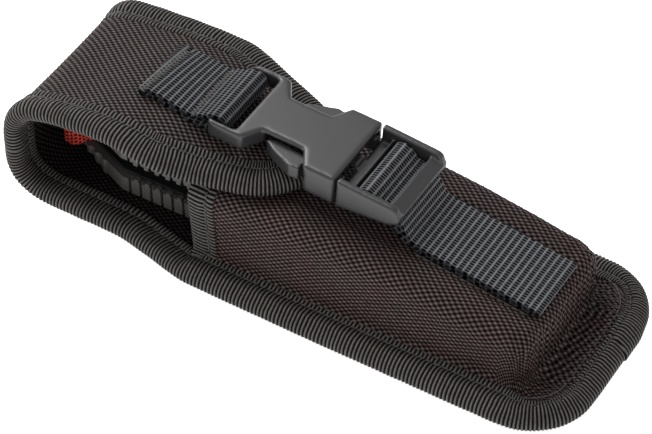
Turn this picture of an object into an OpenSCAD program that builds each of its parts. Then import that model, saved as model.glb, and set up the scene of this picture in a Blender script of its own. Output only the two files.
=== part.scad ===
// Folding multi tool in its belt sheath: padded pouch, folded flap, side release buckle
// Frame: +X from the fold to the foot of the pocket, +Y across, +Z up, lying on its belt loop

/* [Sheath] */
// Length over the fold and the foot binding
sheath_len = 206; // [204:1:208]
// Width of the back panel beside the pocket, over the binding
panel_w = 77; // [76:1:80]
// Width of the back panel and the flap at the fold, over the binding
top_w = 64; // [63:1:66]
// Height of the back panel's underside above the ground
panel_z = 6.6; // [6.2:0.1:7]
// Thickness of the padded panel and flap
panel_t = 4; // [3.6:0.1:4.4]
// Corner radius at the foot
foot_r = 22; // [18:1:26]
// How far the binding stands proud of the panel on each side
bead_h = 1; // [0.6:0.1:1.2]
// Width of the binding's thick edge
bead_w = 3; // [2:0.5:4]

/* [Fold] */
// Outer radius of the fold's two bends
fold_r = 14; // [12:0.5:15]
// Height of the fold's upper outer face
fold_top = 45.5; // [44.5:0.5:46]

/* [Pocket] */
// Width of the pocket at its mouth
pocket_w = 55; // [54:1:57]
// Width of the pocket at its foot
pocket_foot_w = 48; // [43:1:48]
// Wall thickness of the moulded pocket
pocket_t = 2.6; // [2:0.1:3]
// Radius of the pocket's upper long edges
pocket_r = 8; // [7:0.5:10]
// Width of the binding round the mouth
mouth_tape = 8; // [6:0.5:10]

/* [Webbing] */
// Width of the webbing
web_w = 25; // [24:0.5:26]
// Thickness of the webbing
web_t = 1.7; // [1.5:0.1:1.8]
// Width of the belt loop
loop_w = 44; // [38:1:50]

/* [Buckle] */
// Width over the buckle
buckle_w = 30.4; // [30:0.1:31]
// Height of the buckle at its mouth
buckle_h = 11; // [10.5:0.1:11.2]
// Pitch of the buckle, its foot end lower
buckle_tilt = 3.5; // [3:0.5:4]
// Clearance round the latch shoulders
latch_gap = 1.8; // [1.6:0.1:2]

/* [Tool] */
// Length of the closed tool
tool_len = 121; // [117:1:122]
// Width of the closed tool
tool_w = 35.4; // [34:0.2:36]
// Thickness over both grips
tool_t = 20.2; // [19.9:0.1:20.3]
// Distance from one grip rib to the next
rib_pitch = 4.1; // [3.8:0.1:4.6]
// Swing radius of the screwdriver and of the awl
driver_len = 27; // [22:1:28]

/* [Hidden] */
$fn = 48;

fabric_colour = "#37322f";
binding_colour = "#46423e";
webbing_colour = "#3c3e42";
plastic_colour = "#555456";
steel_colour = "#9a9c9e";
grip_colour = "#5f5c5a";
thread_colour = "#262423";

half_len = sheath_len / 2;
panel_top = panel_z + panel_t;
flare_start = -60;
flare_end = -34;
bend_x = -half_len + bead_h + fold_r;
bend_low_z = panel_z + fold_r;
bend_high_z = fold_top - fold_r;
split_gap = 0.8;
eps = 0.01;

// Flap: crest height above the fold, and the places where its slope changes
flap_flat_start = -70;
flap_flat_end = -45;
flap_crest = 48.5;
flap_shoulder_x = -48;
flap_tongue_x = -26.5;
flap_tongue_r = 24.2;
flap_tip_z = 43.4;
stiffener_t = 1.4;
stiffener_inset = bead_w + 6;
stiffener_start = bend_x + 4;

// Pocket: side profile
mouth_low_x = -33;
mouth_high_x = -41;
pocket_top = 38;
pocket_bend_x = 30;
pocket_bend_z = 36.4;
pocket_end_x = 82;
pocket_end_z = 28;
pocket_foot_x = 90;
pocket_taper_x = 20;
flange_t = 1.2;
webbing_gap = 0.05;
strap_start_x = 35;
strap_end_x = 81;
flap_strap_start = -69;
flap_tack_x = [-66.5, -48.5];
tack_t = 0.6;
stitch_t = 0.6;

// Belt loop along X
loop_from = -48;
loop_to = 32;
loop_rise = 8;
loop_sewn = 12;

// Buckle frame: origin at the mouth face, underside of the mouth
buckle_x = 8.5;
buckle_z = 43.9;
half_b = buckle_w / 2;
wall_b = 2.6;
roof_b = 2.2;
mouth_len = 11;
female_len = 46.5;
rear_len = 14.5;
waist_half = 8.5;
rear_under = 4.6;
bar_r = 1.9;
bar_x = -female_len + 2.6;
bar_z = 7.8;
slot_front = -36.6;
male_front = 0.8;
male_len = 23.4;
ladder_x = 10.8;
ladder_z = 6.3;
prong_root_x = 1;
prong_root_y = 10.4;
prong_low = 3;
prong_high = 8.2;
prong_tip = 27.5;
shoulder_x = -mouth_len - latch_gap;
slot_half = 13.2;
guide_y = 3.3;
guide_t = 1;

// Tool: levels in the stack
tool_x = -91;
tool_z = 13.3;
grip_t = 6;
liner_t = 1.3;
tool_foot_x = tool_x + tool_len;
slot_low = tool_z + grip_t + liner_t;
slot_high = tool_z + tool_t - grip_t - liner_t;
slot_mid = (slot_low + slot_high) / 2;
butt_half = 9.6;
butt_taper = 13;
butt_rise = 5;
butt_end_x = -68.7;
blade_t = 2.4;
blade_pivot_x = tool_foot_x - 10;
blade_pivot_y = 8;
blade_tip_x = -38;
driver_x = -74;
driver_y = 7;
driver_t = 4;
pin_r = 2;
driver_pin_r = 1.5;
running_gap = 0.06;
rib_first_x = -65.8;
rib_groove = 1;
rib_depth = 1.3;
rib_count = floor((tool_foot_x - 14 - rib_first_x) / rib_pitch);

// Extrudes a side profile, drawn in X and Z, symmetrically along Y
module side(width) {
    rotate([90, 0, 0]) linear_extrude(height = width, center = true) children();
}

// Outline of the back panel, drawn in by d
module panel_outline(d) {
    top = top_w / 2 - d;
    low = panel_w / 2 - d;
    foot = half_len - foot_r;
    polygon([
        [bend_x, -top], [flare_start, -top], [flare_end, -low], [foot, -low],
        [foot, low], [flare_end, low], [flare_start, top], [bend_x, top]
    ]);
    for (s = [-1, 1])
        translate([foot, s * (panel_w / 2 - foot_r)]) circle(r = foot_r - d);
    translate([foot - eps, -(panel_w / 2 - foot_r)])
        square([foot_r - d + eps, panel_w - 2 * foot_r]);
}

// Outline of the flap with its round tongue, drawn in by d
module flap_outline(d) {
    w = top_w / 2 - d;
    r = flap_tongue_r - d;
    dx = flap_shoulder_x - flap_tongue_x;
    a = atan2(w, dx) - acos(r / sqrt(dx * dx + w * w));
    touch = [flap_tongue_x + (r - 0.05) * cos(a), (r - 0.05) * sin(a)];
    polygon([
        [-half_len, -w], [flap_shoulder_x, -w], [touch[0], -touch[1]],
        touch, [flap_shoulder_x, w], [-half_len, w]
    ]);
    translate([flap_tongue_x, 0]) circle(r = r);
}

// A stretch of one bend of the fold between two angles, in X and Z
module bend(centre_z, from, to, inner, outer) {
    reach = 3 * outer;
    mid = (from + to) / 2;
    translate([bend_x, centre_z]) intersection() {
        difference() {
            circle(r = outer, $fn = 96);
            circle(r = inner, $fn = 96);
        }
        polygon([
            [0, 0], reach * [cos(from), sin(from)], reach * [cos(mid), sin(mid)],
            reach * [cos(to), sin(to)]
        ]);
    }
}

// The three lengths of the fold, each grown by g to either side of the panel's thickness
module fold_foot(g) {
    bend(bend_low_z, 225 + split_gap, 270, fold_r - panel_t - g, fold_r + g);
}

module fold_middle(g) {
    bend(bend_low_z, 180, 225 - split_gap, fold_r - panel_t - g, fold_r + g);
    bend(bend_high_z, 135 + split_gap, 180, fold_r - panel_t - g, fold_r + g);
    translate([bend_x - fold_r - g, bend_low_z])
        square([panel_t + 2 * g, bend_high_z - bend_low_z]);
}

module fold_head(g) {
    bend(bend_high_z, 90, 135 - split_gap, fold_r - panel_t - g, fold_r + g);
}

// Side profile of the flap, grown by g above and below
module flap_profile(g, t) {
    top = [
        [bend_x, fold_top], [flap_flat_start, flap_crest], [flap_flat_end, flap_crest],
        [flap_tongue_x, flap_crest - 2], [0, flap_tip_z]
    ];
    drop = (panel_t - t) / 2;
    polygon(concat(
        [for (p = top) [p[0], p[1] + g - drop]],
        [for (i = [len(top) - 1:-1:0]) [top[i][0], top[i][1] - panel_t - g + drop]]
    ));
}

module back_panel() {
    color(fabric_colour) difference() {
        union() {
            translate([0, 0, panel_z]) linear_extrude(height = panel_t)
                panel_outline(bead_w);
            side(top_w - 2 * bead_w) fold_foot(0);
        }
        stiffener_body();
    }
}

module stiffener_body() {
    translate([0, 0, panel_z + (panel_t - stiffener_t) / 2])
        linear_extrude(height = stiffener_t) intersection() {
            panel_outline(stiffener_inset);
            translate([stiffener_start, -panel_w / 2]) square([sheath_len, panel_w]);
        }
}

module back_stiffener() {
    color("#2a2a2a") stiffener_body();
}

module back_binding() {
    color(binding_colour) {
        translate([0, 0, panel_z - bead_h]) linear_extrude(height = panel_t + 2 * bead_h)
            difference() {
                panel_outline(0);
                panel_outline(bead_w);
                translate([bend_x - 1, -top_w / 2 + bead_w])
                    square([2 * bead_w, top_w - 2 * bead_w]);
            }
        for (s = [-1, 1])
            translate([0, s * (top_w - bead_w) / 2, 0]) side(bead_w) fold_foot(bead_h);
    }
}

module fold_panel() {
    color(fabric_colour) side(top_w - 2 * bead_w) fold_middle(0);
}

module fold_binding() {
    color(binding_colour) for (s = [-1, 1])
        translate([0, s * (top_w - bead_w) / 2, 0]) side(bead_w) fold_middle(bead_h);
}

module flap_core(inset, t) {
    intersection() {
        side(top_w) flap_profile(0, t);
        linear_extrude(height = 2 * flap_crest) flap_outline(inset);
    }
}

module flap_panel() {
    color(fabric_colour) difference() {
        union() {
            flap_core(bead_w, panel_t);
            side(top_w - 2 * bead_w) fold_head(0);
        }
        flap_stiffener_body();
    }
}

module flap_stiffener_body() {
    intersection() {
        flap_core(stiffener_inset, stiffener_t);
        translate([stiffener_start, -top_w / 2, 0])
            cube([sheath_len, top_w, 2 * flap_crest]);
    }
}

module flap_stiffener() {
    color("#2a2a2a") flap_stiffener_body();
}

module flap_binding() {
    color(binding_colour) {
        intersection() {
            side(top_w) flap_profile(bead_h, panel_t);
            linear_extrude(height = 2 * flap_crest) difference() {
                flap_outline(0);
                flap_outline(bead_w);
                translate([-2 * sheath_len + bend_x, -top_w])
                    square([2 * sheath_len, 2 * top_w]);
                translate([bend_x - 1, -top_w / 2 + bead_w])
                    square([2 * bead_w, top_w - 2 * bead_w]);
            }
        }
        for (s = [-1, 1])
            translate([0, s * (top_w - bead_w) / 2, 0]) side(bead_w) fold_head(bead_h);
    }
}

// Solid of the pocket, drawn in by d, with its mouth moved out by reach
module pocket_form(d, reach) {
    low = panel_top - (d > 0 ? 1 : 0);
    intersection() {
        side(2 * panel_w) polygon([
            [mouth_low_x - reach, low], [mouth_high_x - reach, pocket_top - d],
            [pocket_bend_x, pocket_bend_z - d], [pocket_end_x - d, pocket_end_z - d],
            [pocket_foot_x - d, low]
        ]);
        linear_extrude(height = 2 * pocket_top) polygon([
            [-half_len, -pocket_w / 2 + d], [pocket_taper_x, -pocket_w / 2 + d],
            [pocket_foot_x, -pocket_foot_w / 2 + d], [pocket_foot_x, pocket_foot_w / 2 - d],
            [pocket_taper_x, pocket_w / 2 - d], [-half_len, pocket_w / 2 - d]
        ]);
        rotate([0, 90, 0]) linear_extrude(height = 2 * sheath_len, center = true)
            pocket_section(d, low);
    }
}

// Cross-section of the pocket with rounded upper edges, in -Z and Y
module pocket_section(d, low) {
    r = pocket_r - d;
    w = pocket_w / 2 - d;
    top = pocket_top - d;
    translate([-(top - r), -w]) square([top - r - low, 2 * w]);
    translate([-top, -w + r]) square([top - low, 2 * (w - r)]);
    for (s = [-1, 1]) translate([-(top - r), s * (w - r)]) circle(r = r);
}

// Slanted slab along the mouth that the mouth binding fills
module mouth_slab(length) {
    side(2 * panel_w) polygon([
        [mouth_low_x, 0], [mouth_low_x + length, 0],
        [mouth_low_x + length, panel_top], [mouth_high_x + length, pocket_top + 2],
        [mouth_high_x - 1, pocket_top + 2], [mouth_low_x, panel_top]
    ]);
}

module pocket_shell() {
    color(fabric_colour) {
        difference() {
            pocket_form(0, 0);
            pocket_form(pocket_t, 20);
            mouth_slab(mouth_tape);
        }
        translate([0, 0, panel_top]) linear_extrude(height = flange_t) difference() {
            intersection() {
                panel_outline(bead_w + eps);
                translate([mouth_low_x + mouth_tape, -panel_w])
                    square([sheath_len, 2 * panel_w]);
            }
            polygon([
                [-half_len, -pocket_w / 2 + 1], [pocket_taper_x, -pocket_w / 2 + 1],
                [pocket_foot_x - 1, -pocket_foot_w / 2 + 1],
                [pocket_foot_x - 1, pocket_foot_w / 2 - 1],
                [pocket_taper_x, pocket_w / 2 - 1], [-half_len, pocket_w / 2 - 1]
            ]);
        }
    }
}

module pocket_mouth_binding() {
    color(binding_colour) intersection() {
        mouth_slab(mouth_tape);
        difference() {
            pocket_form(-0.4, 2);
            pocket_form(pocket_t + 0.3, 20);
        }
        translate([0, 0, panel_top]) linear_extrude(height = sheath_len)
            square([2 * sheath_len, 2 * panel_w], center = true);
    }
}

// Side profile of the belt loop: sewn ends, two rises and a flat run on the ground
module belt_loop() {
    low_in = loop_from + loop_rise;
    high_in = loop_to - loop_rise;
    sewn = panel_z - web_t;
    color(webbing_colour) side(loop_w) polygon([
        [loop_from - loop_sewn, panel_z], [loop_from - loop_sewn, sewn], [loop_from, sewn],
        [low_in - 1, 0], [high_in + 1, 0], [loop_to, sewn],
        [loop_to + loop_sewn, sewn], [loop_to + loop_sewn, panel_z],
        [loop_to - 2, panel_z], [high_in, web_t], [low_in, web_t], [loop_from + 2, panel_z]
    ]);
}

module belt_loop_tacks() {
    color(thread_colour) for (x = [loop_from - loop_sewn + 3, loop_from - 3,
                                   loop_to + 3, loop_to + loop_sewn - 3])
        translate([x, 0, panel_z - web_t - tack_t / 2])
            cube([1.6, loop_w - 6, tack_t], center = true);
}

// A webbing layer along the pocket's top between two places, the given height above it
module top_layer(from, to, above) {
    slope = (pocket_end_z - pocket_bend_z) / (pocket_end_x - pocket_bend_x);
    function z(x) = pocket_bend_z + slope * (x - pocket_bend_x) + above;
    color(webbing_colour) side(web_w) polygon([
        [from, z(from)], [to, z(to)], [to, z(to) + web_t], [from, z(from) + web_t]
    ]);
}

module load_strap() {
    top_layer(strap_start_x, strap_end_x - 4, webbing_gap);
}

module strap_tail() {
    top_layer(strap_start_x, strap_end_x, web_t + 2 * webbing_gap);
}

module load_strap_stitches() {
    slope = atan((pocket_bend_z - pocket_end_z) / (pocket_end_x - pocket_bend_x));
    run = strap_end_x - strap_start_x - 12;
    color(thread_colour) translate([pocket_bend_x, 0, pocket_bend_z]) rotate([0, slope, 0])
        for (s = [-1, 1])
            translate([
                strap_start_x - pocket_bend_x + 4, s * (web_w / 2 + 0.4) - stitch_t / 2, 0
            ]) cube([run, stitch_t, 1]);
}

// Flap strap: a double layer sewn to the flap and a loop round the buckle's rear bar
module flap_strap() {
    bar = buckle_point(bar_x, bar_z);
    lift = flap_crest + webbing_gap;
    inner = bar_r + 0.35;
    outer = inner + web_t;
    color(webbing_colour) {
        translate([flap_strap_start, -web_w / 2, lift])
            cube([flap_flat_end - flap_strap_start, web_w, 2 * web_t]);
        side(web_w) difference() {
            union() {
                polygon([
                    [flap_flat_end - 2, lift], [flap_flat_end, lift],
                    [bar[0], bar[1] - outer], [bar[0], bar[1] + outer],
                    [flap_flat_end - 1, lift + 2 * web_t], [flap_flat_end - 2, lift + 2 * web_t]
                ]);
                translate(bar) circle(r = outer);
            }
            translate(bar) circle(r = inner);
        }
    }
}

module flap_strap_tacks() {
    color(thread_colour) for (x = flap_tack_x)
        translate([x, 0, flap_crest + webbing_gap + 2 * web_t + tack_t / 2])
            cube([2.2, web_w - 1, tack_t], center = true);
}

// A point of the buckle's own frame, as world X and Z
function buckle_point(x, z) = [
    buckle_x + x * cos(buckle_tilt) + z * sin(buckle_tilt),
    buckle_z - x * sin(buckle_tilt) + z * cos(buckle_tilt)
];

module in_buckle() {
    translate([buckle_x, 0, buckle_z]) rotate([0, buckle_tilt, 0]) children();
}

// Plan of the female half, with its waist
module female_plan() {
    r = 2.5;
    rear = -female_len;
    for (s = [-1, 1]) translate([rear + r, s * (half_b - r)]) circle(r = r);
    polygon([
        [rear, -half_b + r], [rear + r, -half_b], [rear + rear_len - 1.5, -half_b],
        [rear + rear_len + 2.5, -waist_half], [-mouth_len - 4, -waist_half],
        [-mouth_len, -half_b], [0, -half_b], [0, half_b], [-mouth_len, half_b],
        [-mouth_len - 4, waist_half], [rear + rear_len + 2.5, waist_half],
        [rear + rear_len - 1.5, half_b], [rear + r, half_b], [rear, half_b - r]
    ]);
}

module female_buckle() {
    rear = -female_len;
    under_roof = buckle_h - roof_b;
    waist_from = rear + rear_len + 3;
    color(plastic_colour) in_buckle() {
        difference() {
            linear_extrude(height = buckle_h) female_plan();
            translate([rear - 1, -half_b - 1, -1])
                cube([waist_from - rear + 1 + eps, buckle_w + 2, rear_under + 1]);
            translate([waist_from, -half_b - 1, -1])
                cube([-mouth_len - waist_from, buckle_w + 2, under_roof + 1]);
            translate([-mouth_len - eps, -half_b + wall_b, -1])
                cube([mouth_len + 1, buckle_w - 2 * wall_b, under_roof + 1]);
            translate([rear - 1, -slot_half, -1])
                cube([slot_front - rear + 1, 2 * slot_half, buckle_h + 2]);
        }
        for (s = [-1, 1])
            translate([waist_from, s * guide_y - guide_t / 2, prong_low])
                cube([-1 - waist_from, guide_t, under_roof - prong_low + eps]);
        translate([bar_x, 0, bar_z]) rotate([90, 0, 0])
            cylinder(r = bar_r, h = 2 * slot_half + 1, center = true);
    }
}

module male_buckle() {
    color(plastic_colour) in_buckle() {
        for (s = [-1, 1])
            translate([0, s * (half_b - wall_b / 2), 0]) side(wall_b) polygon([
                [male_front, 0], [male_len - 4, 2.4], [male_len - 0.6, 4],
                [male_len, 6], [male_len - 1.5, 9.4], [male_len - 3, 10.2],
                [male_front, buckle_h]
            ]);
        translate([male_front, -half_b + 1, 1]) cube([4.4, buckle_w - 2, 4.6]);
        translate([male_front + 4, -half_b + 1, 1]) cube([0.9, buckle_w - 2, 7.2]);
        translate([ladder_x, 0, ladder_z]) rotate([90, 0, 0])
            cylinder(r = bar_r, h = buckle_w - 1, center = true);
        side(buckle_w - 1) polygon([
            [male_len - 4.6, 8.9], [male_len - 0.2, 6.6], [male_len, 5.2],
            [male_len - 1, 4.6], [male_len - 5.4, 7.2]
        ]);
        translate([-mouth_len - 11, -2.4, 4.6]) cube([mouth_len + 12, 4.8, 2.4]);
    }
}

// Webbing loop round the male half's ladder bar, with its two strands under the rear bar
module bar_wrap() {
    inner = bar_r + 0.05;
    outer = inner + web_t;
    color(webbing_colour) in_buckle() side(web_w) difference() {
        union() {
            translate([ladder_x, ladder_z]) circle(r = outer);
            polygon([
                [ladder_x, ladder_z - outer], [ladder_x, ladder_z - 0.3],
                [male_len - 2, 3.4], [male_len - 2, 3.4 - 2 * web_t + 0.4]
            ]);
        }
        translate([ladder_x, ladder_z]) circle(r = inner);
    }
}

// Latch prong: a flexing arm and a barbed head that fills the waist's recess
module prong(s) {
    color(plastic_colour) in_buckle() scale([1, s, 1]) translate([0, 0, prong_low])
        linear_extrude(height = prong_high - prong_low) polygon([
            [prong_root_x - 0.2, prong_root_y - 1.2], [prong_root_x - 0.2, prong_root_y + 1.2],
            [-mouth_len + 1, prong_root_y + 1.4], [shoulder_x, prong_root_y + 1.6],
            [shoulder_x, half_b - 0.5], [shoulder_x - 3.5, half_b - 0.4],
            [-prong_tip + 4, half_b - 3.2], [-prong_tip, half_b - 5.6],
            [-prong_tip + 0.8, half_b - 7], [-prong_tip + 5, half_b - 7.6],
            [shoulder_x - 1, prong_root_y - 1.8], [-mouth_len + 1, prong_root_y - 1.2]
        ]);
}

module prong_near() {
    prong(-1);
}

module prong_far() {
    prong(1);
}

// Plan of the closed tool, narrowing to its butt
module tool_plan(d) {
    w = tool_w / 2 - d;
    r = 12 - d;
    polygon([
        [tool_x + d, -butt_half + d], [tool_x + 4, -butt_half - 0.6 + d], [butt_end_x, -w],
        [tool_foot_x - 12, -w], [tool_foot_x - 12, w], [butt_end_x, w],
        [tool_x + 4, butt_half + 0.6 - d], [tool_x + d, butt_half - d]
    ]);
    for (s = [-1, 1]) translate([tool_foot_x - 12, s * (w - r)]) circle(r = r);
    translate([tool_foot_x - 12 - eps, -(w - r)]) square([12 - d + eps, 2 * (w - r)]);
}

// Grooves that leave the ribs along both edges of a grip
module rib_grooves(low) {
    for (i = [0:rib_count], s = [-1, 1])
        translate([
            rib_first_x + i * rib_pitch, s * (tool_w / 2 - rib_depth / 2), low + grip_t / 2
        ]) cube([rib_groove, rib_depth + eps, grip_t + 1], center = true);
}

// Grip scale: s is 1 for the lower grip and -1 for the upper one
module grip(s) {
    low = s > 0 ? tool_z : tool_z + tool_t - grip_t;
    face = s > 0 ? low + grip_t : low;
    color(grip_colour) difference() {
        union() {
            translate([0, 0, low]) linear_extrude(height = grip_t) tool_plan(0);
            for (i = [0:rib_count - 1], side = [-1, 1])
                translate([
                    rib_first_x + (i + 0.62) * rib_pitch, side * (tool_w / 2 - 0.9), face + s * 0.4
                ]) cube([1.5, 1.8, 1.2], center = true);
            for (i = [0:2], side = [-1, 1])
                translate([tool_x + 5 + 4 * i, side * (butt_half + 0.4 + 1.45 * i), low])
                    cylinder(r = 1.5, h = grip_t);
        }
        rib_grooves(low);
        screw_places() translate([0, 0, low - 1]) cylinder(r = 2.2, h = grip_t + 2);
        if (s > 0)
            side(2 * tool_w) polygon([
                [tool_x - 1, tool_z - 1], [tool_x + butt_taper, tool_z - 1],
                [tool_x + butt_taper, tool_z], [tool_x - 1, tool_z + butt_rise]
            ]);
    }
}

module grip_lower() {
    grip(1);
}

module grip_upper() {
    grip(-1);
}

module screw_places() {
    for (x = [tool_x + 15, -20, tool_foot_x - 26]) translate([x, 0, 0]) children();
}

module grip_screws() {
    color(steel_colour) screw_places() {
        translate([0, 0, tool_z]) cylinder(r = 2.2, h = grip_t);
        translate([0, 0, tool_z + tool_t - grip_t]) cylinder(r = 2.2, h = grip_t);
    }
}

module liner(low) {
    color(steel_colour) difference() {
        translate([0, 0, low]) linear_extrude(height = liner_t) difference() {
            tool_plan(rib_depth + 0.9);
            blade_pin_places() circle(r = pin_r);
            driver_pin_places() circle(r = driver_pin_r);
        }
        translate([tool_x - 1, -5, low - 1]) cube([3, 10, liner_t + 2]);
    }
}

module liner_lower() {
    liner(tool_z + grip_t);
}

module liner_upper() {
    liner(tool_z + tool_t - grip_t - liner_t);
}

module blade_pin_places() {
    for (s = [-1, 1]) translate([blade_pivot_x, s * blade_pivot_y]) children();
}

module driver_pin_places() {
    for (s = [-1, 1]) translate([driver_x, s * driver_y]) children();
}

module blade_pins() {
    pin_h = slot_high - slot_low + 2 * liner_t;
    color(steel_colour) translate([0, 0, slot_low - liner_t]) blade_pin_places()
        cylinder(r = pin_r, h = pin_h);
}

module driver_pins() {
    pin_h = slot_high - slot_low + 2 * liner_t;
    color(steel_colour) translate([0, 0, slot_low - liner_t]) driver_pin_places()
        cylinder(r = driver_pin_r, h = pin_h);
}

// Bar between the liners that the folded blades rest against
module centre_spacer() {
    spacer_x = -60;
    color("#6c6e70") translate([spacer_x, -2, slot_low])
        cube([blade_pivot_x - spacer_x, 4, slot_high - slot_low]);
}

module main_blade() {
    color(steel_colour) translate([0, 0, slot_mid - blade_t / 2])
        linear_extrude(height = blade_t) difference() {
            polygon([
                [blade_pivot_x + 4.5, -blade_pivot_y - 3], [blade_pivot_x + 4.5, -3],
                [blade_tip_x + 12, -2.6], [blade_tip_x, -6], [blade_tip_x + 8, -11.5],
                [blade_tip_x + 22, -14.4], [blade_pivot_x - 12, -14.4], [blade_pivot_x - 4, -12.6]
            ]);
            blade_pin_places() circle(r = pin_r);
        }
}

// Saw blade: a plain back and a toothed edge
module saw_blade() {
    pitch = 2.5;
    start = blade_tip_x + 6;
    teeth = floor((blade_pivot_x - 6 - start) / pitch);
    color(steel_colour) translate([0, 0, slot_mid - blade_t / 2])
        linear_extrude(height = blade_t) difference() {
            polygon(concat(
                [[blade_pivot_x + 4.5, blade_pivot_y + 3], [blade_pivot_x + 4.5, 3], [start, 2.6]],
                [for (i = [0:teeth - 1]) each [
                    [start + i * pitch, 13.8], [start + (i + 0.85) * pitch, 12.2]
                ]],
                [[blade_pivot_x - 3, 12.4]]
            ));
            blade_pin_places() circle(r = pin_r);
        }
}

// Short implement that swings out of the open side about its pin; s is its side
module swing_arm(s, tip_half, tip_len) {
    root = 3;
    end = driver_x + driver_len;
    color(steel_colour) translate([0, 0, slot_mid - driver_t / 2])
        linear_extrude(height = driver_t) difference() {
            union() {
                translate([driver_x, s * driver_y]) circle(r = root);
                translate([0, s * driver_y]) polygon([
                    [driver_x, -root], [end - tip_len, -root], [end, -tip_half],
                    [end, tip_half], [end - tip_len, root], [driver_x, root]
                ]);
            }
            translate([driver_x, s * driver_y]) circle(r = driver_pin_r + running_gap);
        }
}

module screwdriver() {
    swing_arm(-1, 2.4, 5);
}

module awl() {
    swing_arm(1, 0.4, 14);
}

// Woven loop that draws the tool out, anchored between the liners at the butt
module pull_loop() {
    out_x = -96.2;
    in_x = -84;
    half_w = 8;
    tape_t = 1.4;
    tape_h = 4.8;
    color("#96322a") translate([0, 0, slot_mid - tape_h / 2]) linear_extrude(height = tape_h)
        difference() {
            union() {
                translate([out_x + half_w, 0]) circle(r = half_w);
                translate([out_x + half_w, -half_w]) square([in_x - out_x - half_w, 2 * half_w]);
            }
            translate([out_x + half_w, 0]) circle(r = half_w - tape_t);
            translate([out_x + half_w, -half_w + tape_t])
                square([in_x - out_x - half_w + 1, 2 * (half_w - tape_t)]);
        }
}

back_panel();
back_stiffener();
back_binding();
pocket_shell();
pocket_mouth_binding();
belt_loop();
belt_loop_tacks();
load_strap();
strap_tail();
load_strap_stitches();
fold_panel();
fold_binding();
flap_panel();
flap_stiffener();
flap_binding();
flap_strap();
flap_strap_tacks();
female_buckle();
male_buckle();
bar_wrap();
prong_near();
prong_far();
grip_lower();
grip_upper();
liner_lower();
liner_upper();
centre_spacer();
main_blade();
saw_blade();
screwdriver();
awl();
blade_pins();
driver_pins();
grip_screws();
pull_loop();
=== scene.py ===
import math

import bmesh
import bpy
import numpy as np
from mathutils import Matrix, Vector


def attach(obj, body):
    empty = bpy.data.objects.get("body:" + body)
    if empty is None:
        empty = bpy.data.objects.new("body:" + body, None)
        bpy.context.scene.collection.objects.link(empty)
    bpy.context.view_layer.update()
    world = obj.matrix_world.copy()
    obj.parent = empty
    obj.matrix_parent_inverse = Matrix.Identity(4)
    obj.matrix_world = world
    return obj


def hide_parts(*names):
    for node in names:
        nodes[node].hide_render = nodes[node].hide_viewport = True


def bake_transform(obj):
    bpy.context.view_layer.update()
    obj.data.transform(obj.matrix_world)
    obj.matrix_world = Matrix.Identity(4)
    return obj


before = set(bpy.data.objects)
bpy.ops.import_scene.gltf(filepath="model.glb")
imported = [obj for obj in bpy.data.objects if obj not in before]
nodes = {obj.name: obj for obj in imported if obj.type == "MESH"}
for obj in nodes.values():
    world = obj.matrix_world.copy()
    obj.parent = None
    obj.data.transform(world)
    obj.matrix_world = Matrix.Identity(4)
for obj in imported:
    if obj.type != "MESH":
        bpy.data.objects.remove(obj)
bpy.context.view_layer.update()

MM = 0.001
TAU = 2 * math.pi

# Main sizes of the visible sheath in millimetres, near those of the CAD source
FOOT_X = 102.0
MID_Z = 8.6
HALF_T = 2.0
BEND_X = -90.0
BEND_R = 12.15
LOW_BEND_Z = 20.6
HIGH_BEND_Z = 32.6
SPLIT_Z = 26.05
TOP_HALF = 32.5
PANEL_HALF = 38.5
FOOT_R = 22.0
TONGUE_X = -26.5
TONGUE_R = 24.2
FLANGE_Z = 11.8

# Pitches of the cloths in millimetres
RIB = 1.33
WEAVE_U = 2.6
WEAVE_V = 1.75
WEAVE_SKEW = 0.19
WEB_RIB = 2.12
WEB_TICK = 1.06

# Distance between the rows of points along the outline, and between those of the woven meshes
OUTLINE_STEP = RIB / 4
STEP = 0.433

# Stitches of the bindings
STITCH_PITCH = 3.0
STITCH_LENGTH = 2.3
STITCH_RADIUS = 0.24

# Painted shade: brightness drawn on the lining and on the straps' selvedges, next to the outer cloth
PAINTED_SHADE_TONE = 0.3


# ---- helpers

def ease(low, high, x):
    """0 up to low and 1 from high on, with a smooth rise between them."""
    t = np.clip((x - low) / (high - low), 0.0, 1.0)
    return t * t * (3.0 - 2.0 * t)


def gauss(values, sigma, closed=False):
    """Gaussian smoothing along axis 0, with sigma in samples."""
    reach = max(1, int(3 * sigma))
    kernel = np.exp(-0.5 * (np.arange(-reach, reach + 1) / sigma) ** 2)
    kernel /= kernel.sum()
    v = np.asarray(values, float)
    flat = v.reshape(len(v), -1)
    if closed:
        padded = np.vstack([flat[-reach:], flat, flat[:reach]])
    else:
        k = np.arange(reach, 0, -1)
        padded = np.vstack([
            2 * flat[0] - flat[np.minimum(k, len(flat) - 1)],
            flat,
            2 * flat[-1] - flat[np.maximum(len(flat) - 1 - k[::-1], 0)],
        ])
    out = np.stack([np.convolve(padded[:, i], kernel, "valid") for i in range(flat.shape[1])], 1)
    return out.reshape(v.shape)


def unit(vectors):
    return vectors / np.linalg.norm(vectors, axis=-1, keepdims=True)


def lengths(points):
    step = np.linalg.norm(np.diff(points, axis=0), axis=1)
    return np.concatenate([[0.0], np.cumsum(step)])


def resample(points, step=None, count=None):
    points = np.asarray(points, float)
    s = lengths(points)
    n = count or max(2, int(round(s[-1] / step)) + 1)
    t = np.linspace(0, s[-1], n)
    return np.stack([np.interp(t, s, points[:, i]) for i in range(points.shape[1])], 1)


def arc(cx, cy, r, a0, a1, n=24):
    a = np.radians(np.linspace(a0, a1, n))
    return np.stack([cx + r * np.cos(a), cy + r * np.sin(a)], 1)


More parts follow.
